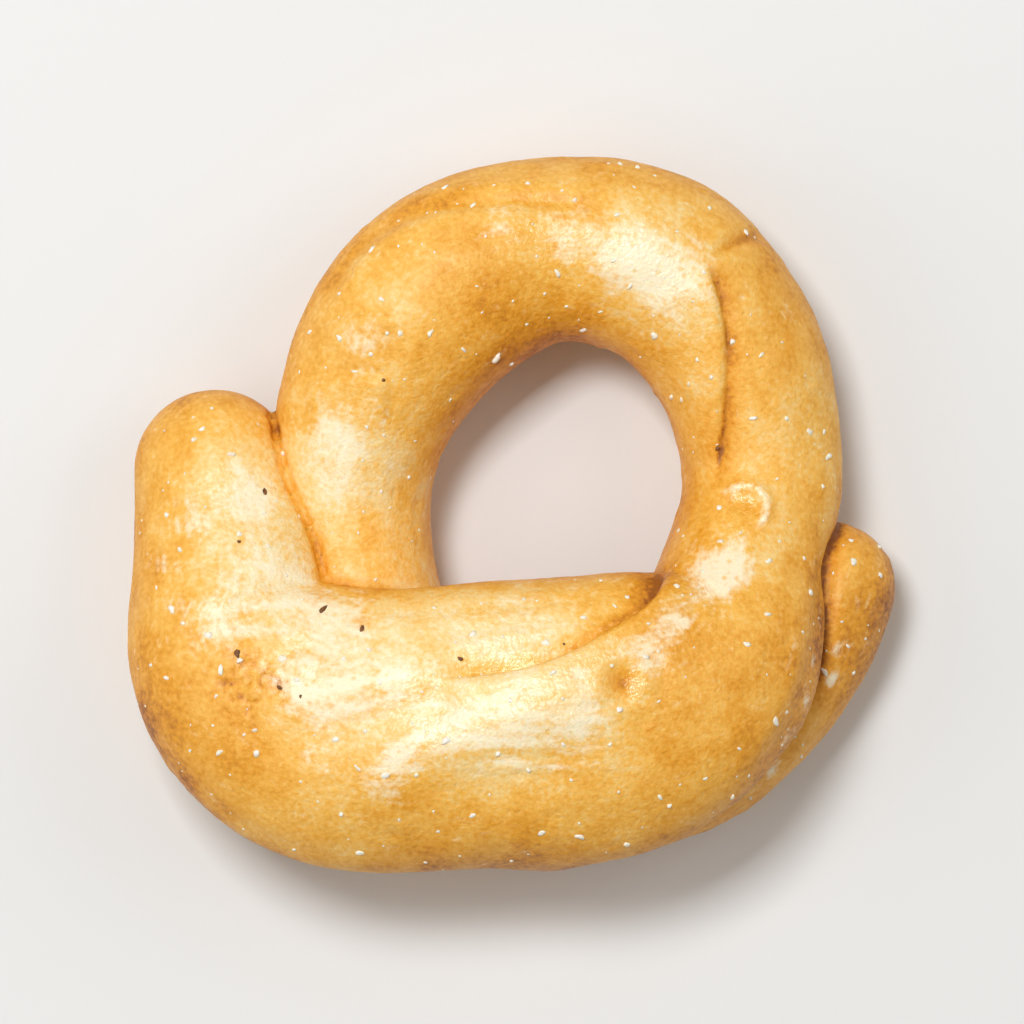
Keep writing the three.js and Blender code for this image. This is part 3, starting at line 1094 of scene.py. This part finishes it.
class Nodes:
    """Builds one material's node tree: an input is a number, a colour or another output."""

    def __init__(self, name):
        self.material = bpy.data.materials.new(name)
        self.material.use_nodes = True
        self.tree = self.material.node_tree
        self.shader = self.tree.nodes["Principled BSDF"]

    def feed(self, socket, value):
        if isinstance(value, bpy.types.NodeSocket):
            self.tree.links.new(value, socket)
        else:
            socket.default_value = value

    def add(self, kind, inputs, output=0, **settings):
        made = self.tree.nodes.new(kind)
        for key, value in settings.items():
            setattr(made, key, value)
        for key, value in inputs.items():
            self.feed(made.inputs[key], value)
        return made.outputs[output]

    def maths(self, operation, first, second):
        return self.add("ShaderNodeMath", {0: first, 1: second}, operation=operation)

    def plus(self, first, *others):
        for other in others:
            first = self.maths("ADD", first, other)
        return first

    def attribute(self, name, output="Fac"):
        return self.add("ShaderNodeAttribute", {}, output, attribute_name=name)

    def noise(self, place, scale, detail=2.0):
        inputs = {"Vector": place, "Scale": scale, "Detail": detail}
        return self.add("ShaderNodeTexNoise", inputs, "Fac")

    def around_zero(self, value, amount):
        return self.add("ShaderNodeMapRange", {0: value, 3: -amount, 4: amount}, clamp=False)

    def window(self, value, low, high, bottom=0.0, top=1.0):
        """Changes smoothly from bottom to top as the value goes from low to high."""
        inputs = {0: value, 1: low, 2: high, 3: bottom, 4: top}
        return self.add("ShaderNodeMapRange", inputs, interpolation_type="SMOOTHSTEP")

    def ramp(self, value, stops):
        made = self.tree.nodes.new("ShaderNodeValToRGB")
        self.feed(made.inputs[0], value)
        elements = made.color_ramp.elements
        while len(elements) < len(stops):
            elements.new(0.5)
        for element, (position, colour) in zip(elements, stops):
            element.position = position
            element.color = (*colour, 1.0)
        return made.outputs["Color"]

    def mix_colours(self, share, first, second):
        made = self.tree.nodes.new("ShaderNodeMix")
        made.data_type = "RGBA"
        self.feed(made.inputs[0], share)
        self.feed(made.inputs[6], first)
        self.feed(made.inputs[7], second)
        return made.outputs[2]

    def bump(self, height, strength, distance):
        inputs = {"Strength": strength, "Distance": distance, "Height": height}
        return self.add("ShaderNodeBump", inputs)

    def set(self, **values):
        for key, value in values.items():
            self.feed(self.shader.inputs[key.replace("_", " ")], value)


PALE_TO_BROWN = [
    (0.0, (0.96, 0.80, 0.50)),
    (0.22, (0.94, 0.66, 0.26)),
    (0.45, (0.92, 0.50, 0.085)),
    (0.7, (0.80, 0.345, 0.017)),
    (0.88, (0.58, 0.21, 0.008)),
    (1.0, (0.34, 0.10, 0.005)),
]
# The flour's cream white, which also colours the painted highlight.
FLOUR_AND_HIGHLIGHT_COLOUR = (0.99, 0.9, 0.68, 1.0)
SALT_COLOURS = [(0.3, (0.86, 0.78, 0.62)), (0.7, (0.98, 0.96, 0.9))]
BRAN_COLOURS = [(0.3, (0.09, 0.03, 0.008)), (0.7, (0.26, 0.10, 0.025))]

# Noise scales, in lumps to the metre, from the finest.
SKIN_SCALE = 5200.0
BRAN_SCALE = 5000.0
GRAIN_SCALE = 3200.0
SALT_SCALE = 3000.0
PORE_SCALE = 1500.0
MOTTLE_SCALE = 900.0
PATCH_SCALE = 520.0

# The streaks follow the rope: rope places in mm are drawn out by these shares, and then take
# these scales for the browning and the flour.
STREAK_STRETCH = (0.25, 1.1, 1.0)
TONE_STREAK_SCALE = 1.0
FLOUR_STREAK_SCALE = 2.4

# How much each noise moves the browning, with its painted shade, and the flour, with its painted
# highlight.
GRAIN_TONE, PATCHY_TONE, STREAK_TONE = 0.30, 0.30, 0.12
MOTTLED_FLOUR, STREAKED_FLOUR, GRAINY_FLOUR = 0.55, 0.6, 0.42

# Flour, with the painted highlight it carries, begins and is full at these sums of its attribute
# and noises, and never hides all.
FLOUR_BEGINS, FLOUR_FULL, FLOUR_COVER = 0.16, 1.1, 0.88

DULL_ROUGHNESS, GLAZED_ROUGHNESS, PATCHY_ROUGHNESS = 0.6, 0.27, 0.16

# A pore's distance, in cells, at its edge for the flour and for the bump, what flour it keeps,
# and how deep it and the grain are in the bump beside the skin's own noise.
PORE_IN_FLOUR = (0.08, 0.32)
PORE_IN_BUMP = (0.1, 0.3)
PORE_FLOUR_KEPT = 0.35
PORE_BUMP, GRAIN_BUMP = 0.35, 0.8

# Bumps: (strength, distance in metres)
CRUST_BUMP = (0.9, 0.00006)
SALT_BUMP = (0.5, 0.00003)
BRAN_BUMP = (0.6, 0.00004)


def crust_material():
    """Baked dough: browning and painted shade, flour and painted highlight, and shine."""
    make = Nodes("baked_crust")
    place = make.add("ShaderNodeTexCoord", {}, "Object")
    along = make.attribute("rope_place", "Vector")
    drawn_out = make.add("ShaderNodeMapping", {"Vector": along, "Scale": STREAK_STRETCH})
    grain = make.noise(place, GRAIN_SCALE, 4.0)
    patches = make.noise(place, PATCH_SCALE, 4.0)
    tone = make.plus(
        make.attribute("toast_and_shade"),
        make.around_zero(grain, GRAIN_TONE),
        make.around_zero(patches, PATCHY_TONE),
        make.around_zero(make.noise(drawn_out, TONE_STREAK_SCALE, 3.0), STREAK_TONE),
    )
    pores = make.add("ShaderNodeTexVoronoi", {"Vector": place, "Scale": PORE_SCALE}, "Distance")
    # The flour layer, partly painted highlight, is mottled, streaked and grained.
    mottle = make.around_zero(make.noise(place, MOTTLE_SCALE, 6.0), MOTTLED_FLOUR)
    streaks = make.around_zero(make.noise(drawn_out, FLOUR_STREAK_SCALE, 3.0), STREAKED_FLOUR)
    dusting_and_highlight = make.plus(make.attribute("flour_and_highlight"), make.plus(mottle, streaks))
    dusting_and_highlight = make.maths("SUBTRACT", dusting_and_highlight, make.around_zero(grain, GRAINY_FLOUR))
    dust_and_highlight = make.window(dusting_and_highlight, FLOUR_BEGINS, FLOUR_FULL, 0.0, FLOUR_COVER)
    in_pores = make.window(pores, *PORE_IN_FLOUR, PORE_FLOUR_KEPT, 1.0)
    dust_and_highlight = make.maths("MULTIPLY", dust_and_highlight, in_pores)
    colour = make.mix_colours(dust_and_highlight, make.ramp(tone, PALE_TO_BROWN), FLOUR_AND_HIGHLIGHT_COLOUR)

    pore = make.window(pores, *PORE_IN_BUMP, 1.0, 0.0)
    pore_depth = make.maths("MULTIPLY", pore, PORE_BUMP)
    height = make.maths("SUBTRACT", make.noise(place, SKIN_SCALE), pore_depth)
    height = make.plus(height, make.maths("MULTIPLY", grain, GRAIN_BUMP))
    bump = make.bump(height, *CRUST_BUMP)

    rough = make.window(make.attribute("shine"), 0.0, 1.0, DULL_ROUGHNESS, GLAZED_ROUGHNESS)
    rough = make.plus(rough, make.around_zero(patches, PATCHY_ROUGHNESS))
    make.set(Base_Color=colour, Roughness=rough, Normal=bump, Specular_IOR_Level=0.5)
    make.set(Subsurface_Weight=0.12, Subsurface_Radius=(1.0, 0.45, 0.15))
    make.set(Subsurface_Scale=0.0006, Coat_Weight=0.1, Coat_Roughness=0.3)
    return make.material


def salt_material():
    make = Nodes("salt")
    place = make.add("ShaderNodeTexCoord", {}, "Object")
    cloud = make.noise(place, SALT_SCALE)
    make.set(Base_Color=make.ramp(cloud, SALT_COLOURS), Normal=make.bump(cloud, *SALT_BUMP))
    make.set(Roughness=0.3, Subsurface_Weight=0.2, Subsurface_Scale=0.0002)
    return make.material


def bran_material():
    make = Nodes("bran")
    place = make.add("ShaderNodeTexCoord", {}, "Object")
    cloud = make.noise(place, BRAN_SCALE)
    make.set(Base_Color=make.ramp(cloud, BRAN_COLOURS), Normal=make.bump(cloud, *BRAN_BUMP))
    make.set(Roughness=0.6)
    return make.material


# ---- Building the tarallo ----


def build_skin():
    """Relieved points, quads, normals and rope places of the whole crust."""
    points, quads = coarse_quads()
    points, quads = split_quads(settle_on_skin(points, 2), quads)
    points = settle_on_skin(gather_at_laps(points), 2)
    normals = mesh_normals(points, quads)
    travel, around, crevice = rope_places(points)
    relief = all_relief(points, normals, travel, around, crevice)
    return points + normals * relief[:, None], quads, normals, travel, around, crevice


skin, skin_quads, skin_normals, travel, around, crevice = build_skin()
tarallo = new_piece("tarallo_crust", skin, skin_quads, crust_material())
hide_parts("tarallo")
# The crevice is painted shade: coloured darker, without flour and less glossy.
toast_and_shade = browning_and_shade(skin, skin_normals) + CREVICE_SHADE * crevice
add_attribute(tarallo, "toast_and_shade", "FLOAT", toast_and_shade)
add_attribute(tarallo, "flour_and_highlight", "FLOAT", flour_and_highlights(skin, skin_normals) - crevice)
add_attribute(tarallo, "shine", "FLOAT", shining(skin) * (1 - crevice))
rope_place = np.stack([travel, around, travel * 0], axis=1)
add_attribute(tarallo, "rope_place", "FLOAT_VECTOR", rope_place)

seats, radii = scatter_salt(skin, skin_normals)
halves = [radius * dice.uniform(SALT_LEAST_SHAPE, SALT_MOST_SHAPE) for radius in radii]
seats += [skin_at(skin, x, y) for x, y, _, _ in CRUMBS]
halves += [np.array([length, width, width]) for _, _, length, width in CRUMBS]
salt = chips(skin, skin_normals, seats, halves, SALT_SINK, SALT_LUMPS)
new_piece("salt_grains", *salt, salt_material())

seats = [skin_at(skin, x, y) for x, y, _, _ in BRAN]
halves = [np.array([length, width, BRAN_THICKNESS * width]) for _, _, length, width in BRAN]
bran = chips(skin, skin_normals, seats, halves, BRAN_SINK, BRAN_LUMPS)
new_piece("bran_flecks", *bran, bran_material())

# ---- Stage, in metres and watts ----

FLOOR_HALF = 2.0
FLOOR_COLOUR = (0.80, 0.82, 0.85, 1.0)
FLOOR_ROUGHNESS = 0.85
WORLD_LIGHT = 0.28
WORLD_COLOUR = (1.0, 0.965, 0.89, 1.0)

# Softboxes, which all face the origin: (name, place, size, power, colour)
SOFTBOXES = [
    ("key", (-0.11, 0.15, 0.45), (0.16, 0.12), 1.55, (1.0, 0.985, 0.95)),
    ("right_fill", (0.34, 0.1, 0.3), (0.3, 0.3), 0.36, (1.0, 0.96, 0.9)),
    ("left_fill", (-0.36, -0.06, 0.26), (0.3, 0.3), 0.36, (1.0, 0.96, 0.9)),
]

# The camera's lens and sensor in mm, and the share of the frame that the tarallo fills.
CAMERA_LENS = 250
CAMERA_SENSOR = 36
FRAME_FILLED = 0.74


def add_floor():
    half = FLOOR_HALF
    corners = [(-half, -half, 0), (half, -half, 0), (half, half, 0), (-half, half, 0)]
    mesh = bpy.data.meshes.new("floor")
    mesh.from_pydata(corners, [], [(0, 1, 2, 3)])
    paint = Nodes("floor_paint")
    paint.set(Base_Color=FLOOR_COLOUR, Roughness=FLOOR_ROUGHNESS)
    mesh.materials.append(paint.material)
    floor = bpy.data.objects.new("floor", mesh)
    bpy.context.scene.collection.objects.link(floor)


def add_softbox(name, place, size, power, colour):
    data = bpy.data.lights.new(name, "AREA")
    data.shape = "RECTANGLE"
    data.size, data.size_y = size
    data.energy = power
    data.color = colour
    lamp = bpy.data.objects.new(name, data)
    lamp.location = place
    lamp.rotation_mode = "QUATERNION"
    lamp.rotation_quaternion = (-Vector(place)).to_track_quat("-Z", "Y")
    bpy.context.scene.collection.objects.link(lamp)


def add_world():
    world = bpy.data.worlds.new("studio")
    world.use_nodes = True
    background = world.node_tree.nodes["Background"]
    background.inputs["Color"].default_value = WORLD_COLOUR
    background.inputs["Strength"].default_value = WORLD_LIGHT
    bpy.context.scene.world = world


def add_camera():
    """Looks straight down on the tarallo."""
    data = bpy.data.cameras.new("camera")
    data.lens = CAMERA_LENS
    data.sensor_width = CAMERA_SENSOR
    data.clip_start = 0.01
    camera = bpy.data.objects.new("camera", data)
    centre = (cad_low + cad_high) / 2
    distance = (cad_high.x - cad_low.x) / FRAME_FILLED * CAMERA_LENS / CAMERA_SENSOR
    camera.location = (centre.x, centre.y, distance)
    bpy.context.scene.collection.objects.link(camera)
    bpy.context.scene.camera = camera


add_floor()
for softbox in SOFTBOXES:
    add_softbox(*softbox)
add_world()
add_camera()
bpy.context.scene.view_settings.view_transform = "Standard"
